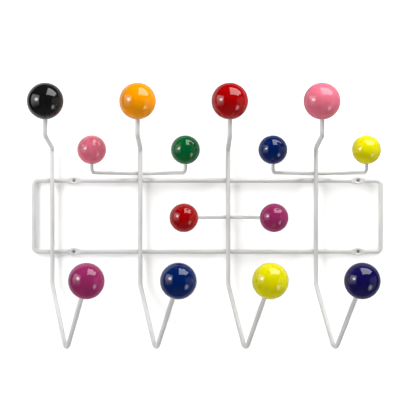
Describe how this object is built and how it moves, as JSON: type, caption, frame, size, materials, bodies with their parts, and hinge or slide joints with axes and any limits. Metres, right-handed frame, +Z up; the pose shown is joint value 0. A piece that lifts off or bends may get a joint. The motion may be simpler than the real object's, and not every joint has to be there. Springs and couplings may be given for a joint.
{
  "type": "wall coat rack",
  "caption": "Wall coat rack of bent white wire, with small and large coloured balls on its arms and V-shaped hooks.",
  "frame": {"origin": "on the wall's surface, midway between the four mounting screws", "axes": "+X to the right along the wall as seen from the room, +Y into the wall, +Z up"},
  "size_m": [0.502, 0.1646, 0.3677],
  "materials": {
    "white_coated_wire": "satin",
    "spacer_plastic": "matte",
    "lacquer_black": "gloss",
    "lacquer_orange": "gloss",
    "lacquer_red": "gloss",
    "lacquer_pink": "gloss",
    "lacquer_green": "gloss",
    "lacquer_blue": "gloss",
    "lacquer_yellow": "gloss",
    "lacquer_magenta": "gloss",
    "lacquer_violet": "gloss"
  },
  "bodies": {
    "root": {"rail_loop": "white_coated_wire", "column_wire_1": "white_coated_wire", "column_wire_2": "white_coated_wire", "column_wire_3": "white_coated_wire", "column_wire_4": "white_coated_wire", "upper_arm_left": "white_coated_wire", "upper_arm_right": "white_coated_wire", "middle_arm": "white_coated_wire", "wall_spacer_1": "spacer_plastic", "wall_spacer_2": "spacer_plastic", "wall_spacer_3": "spacer_plastic", "wall_spacer_4": "spacer_plastic", "top_ball_black": "lacquer_black", "top_ball_orange": "lacquer_orange", "top_ball_red": "lacquer_red", "top_ball_pink": "lacquer_pink", "upper_ball_pink": "lacquer_pink", "upper_ball_green": "lacquer_green", "upper_ball_blue": "lacquer_blue", "upper_ball_yellow": "lacquer_yellow", "middle_ball_red": "lacquer_red", "middle_ball_magenta": "lacquer_magenta", "hook_ball_magenta": "lacquer_magenta", "hook_ball_blue": "lacquer_blue", "hook_ball_yellow": "lacquer_yellow", "hook_ball_violet": "lacquer_violet"}
  },
  "joints": []
}
